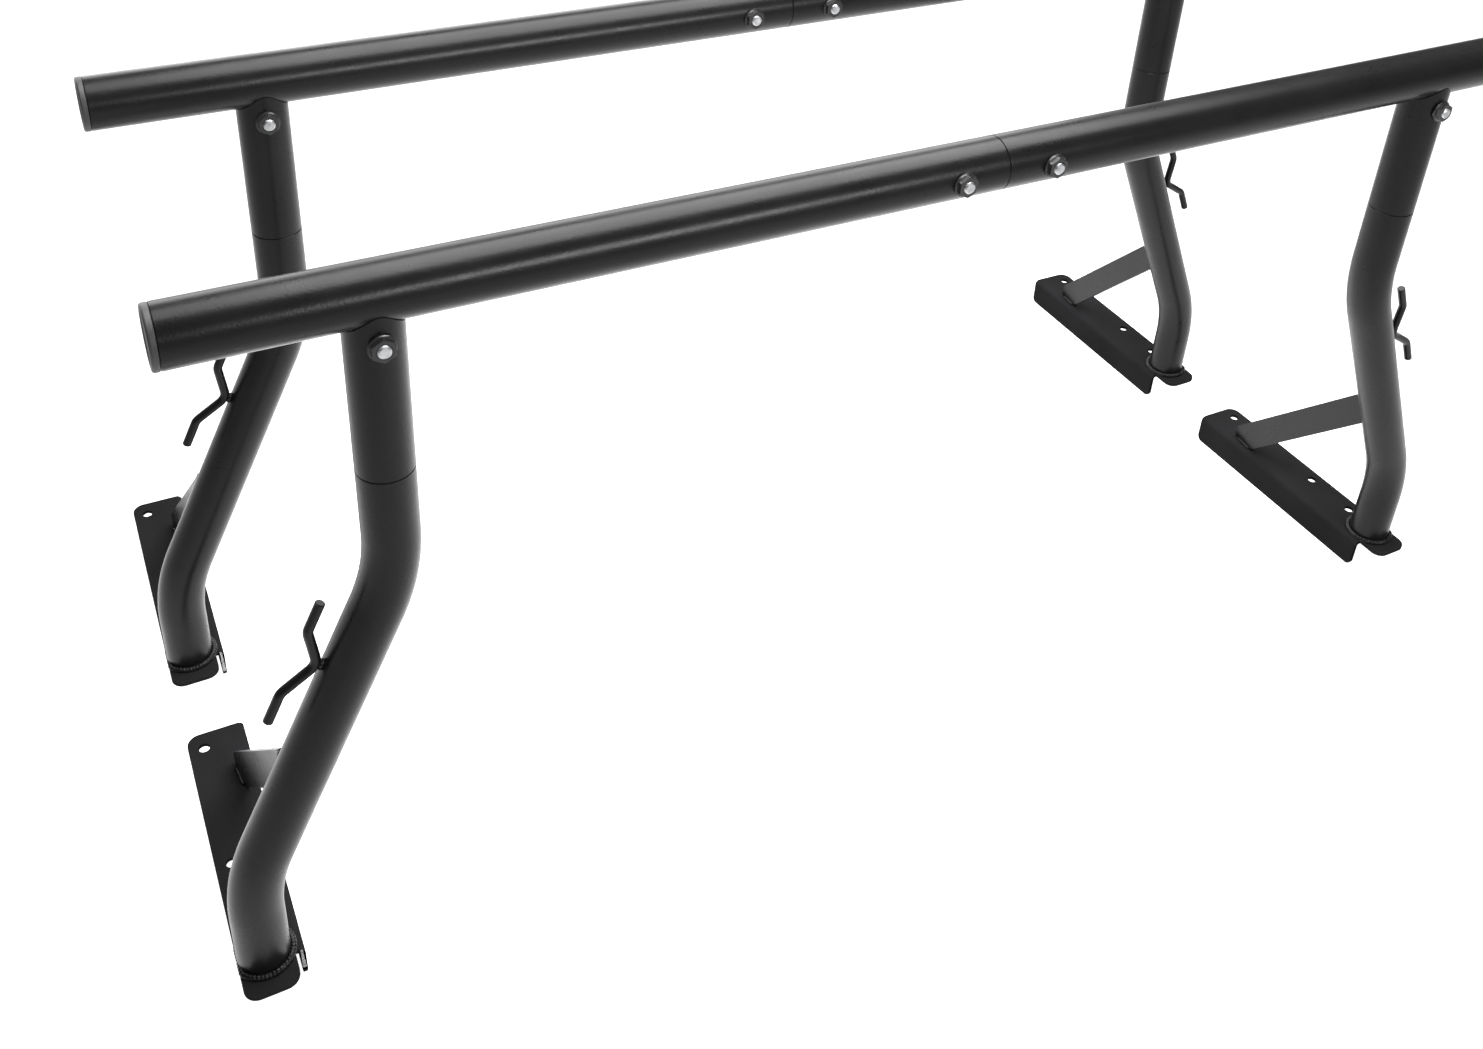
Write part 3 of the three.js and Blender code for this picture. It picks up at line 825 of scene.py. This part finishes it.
PIECES = {
    "crossbar": (crossbar(), "powder_coat", True),
    "end_cap": (end_cap(), "cap_plastic", True),
    "upper_leg": (upper_leg(), "powder_coat", True),
    "lower_leg": (lower_leg(), "powder_coat", True),
    "base_bracket": (base_bracket(), "powder_coat", True),
    "brace": (brace(), "powder_coat", True),
    "rope_hook": (rope_hook(), "powder_coat", True),
    "leg_bolt": (shifted(through_bolt(LEG_R), LEG_X, -LEG_BOLT_DROP), "zinc", True),
    "leg_nut": (shifted(flanged_nut(LEG_R), LEG_X, -LEG_BOLT_DROP), "black_nut", True),
    "sleeve_bolt": (shifted(through_bolt(BAR_R), SLEEVE_BOLT_X, 0), "zinc", True),
    "sleeve_nut": (shifted(flanged_nut(BAR_R), SLEEVE_BOLT_X, 0), "black_nut", True),
    "foot_weld": (foot_weld(), "powder_coat", False),
    "brace_foot_weld_a": (brace_foot_weld(1), "powder_coat", False),
    "brace_foot_weld_b": (brace_foot_weld(-1), "powder_coat", False),
    "brace_head_weld": (brace_head_weld(), "powder_coat", False),
    "hook_weld": (hook_weld(), "powder_coat", False),
}

for hoop in HOOPS:
    for side in SIDES:
        for kind, (shape, slot, has_node) in PIECES.items():
            name = f"{hoop}_{side}_{kind}"
            place(shape, f"fine_{name}", hoop, side, name if has_node else None, slot)

sleeve_shape = crossbar_sleeve()
for hoop in HOOPS:
    node_name = f"{hoop}_crossbar_sleeve"
    place(sleeve_shape, f"fine_{node_name}", hoop, "right", node_name, "bare_steel", f"{hoop}_left")

for name, node in frame["nodes"].items():
    if name.endswith(("leg_stub", "leg_coupler")):
        slot = "powder_coat" if name.endswith("leg_stub") else "bare_steel"
        node.data.materials.clear()
        node.data.materials.append(MATERIALS[slot])

# ---------------------------------------------------------------- floor, light, camera
def floor():
    """A pale floor with a painted glow: emission strongest round the rack and fading outward, which
    keeps the shadows light.
    """
    bm = bmesh.new()
    bmesh.ops.create_grid(bm, x_segments=1, y_segments=1, size=30)
    obj = to_object(bm, "floor")
    n = Nodes("floor")
    tone = n.mix(n.spread(n.noise(3.0, 2.0), 0, 1), (0.44, 0.44, 0.44), (0.46, 0.46, 0.46))
    n.set(Base_Color=tone, Roughness=0.9, Specular_IOR_Level=0.1)
    squashed = n.add("ShaderNodeMapping", {"Vector": n.coordinates, "Scale": (0.8, 1.33, 1)})
    reach = n.add("ShaderNodeVectorMath", {0: squashed.outputs[0]}, operation="LENGTH")
    # Painted light: the floor's emission is strongest near the rack and fades outward, lightening the
    # shadows round it.
    painted_glow = n.spread(reach.outputs["Value"], 1.3, 0.45, 0.50, 1.10)
    obj.data.materials.append(n.set(Emission_Color=(1, 1, 1, 1), Emission_Strength=painted_glow))


def soft_light(name, at, aim, size, radiance):
    lamp = bpy.data.lights.new(name, "AREA")
    lamp.shape = "RECTANGLE"
    lamp.size, lamp.size_y = size
    lamp.energy = radiance * math.pi * size[0] * size[1]
    obj = bpy.data.objects.new(name, lamp)
    obj.location = at
    obj.rotation_euler = (Vector(aim) - Vector(at)).to_track_quat("-Z", "Y").to_euler()
    obj.visible_camera = False
    bpy.context.scene.collection.objects.link(obj)


def world(shade):
    made = bpy.data.worlds.new("studio")
    made.use_nodes = True
    made.node_tree.nodes["Background"].inputs["Color"].default_value = (shade,) * 3 + (1,)
    bpy.context.scene.world = made


def camera():
    """The photograph's viewpoint: azimuth, height and a slight roll."""
    data = bpy.data.cameras.new("camera")
    data.sensor_width = 36
    data.lens = 36.41
    data.shift_x, data.shift_y = -0.0115, -0.2103
    data.clip_end = 100
    obj = bpy.data.objects.new("camera", data)
    right = Vector((0.887, -0.458, 0.053))
    down = Vector((-0.184, -0.457, -0.870))
    ahead = right.cross(down).normalized()
    right.normalize()
    down = ahead.cross(right).normalized()
    rotation = Matrix((right, -down, -ahead)).transposed().to_4x4()
    obj.matrix_world = Matrix.Translation((-0.8035, -1.335, 1.3987)) @ rotation
    bpy.context.scene.collection.objects.link(obj)
    bpy.context.scene.camera = obj


floor()
world(0.10)
soft_light("overhead", (0.55, 0.15, 2.4), (0.55, 0.15, 0), (2.0, 1.9), 13)
soft_light("overhead_left", (-1.0, 0.0, 2.4), (-0.9, 0, 0), (1.1, 1.4), 6)
soft_light("front_strip", (0.5, -2.7, 1.55), (-0.2, -0.34, 0.76), (1.4, 0.4), 32)
soft_light("rear_wall", (0, 3.4, 1.6), (0, 0, 0.6), (6, 2.8), 4.1)
camera()
bpy.context.scene.view_settings.view_transform = "Standard"
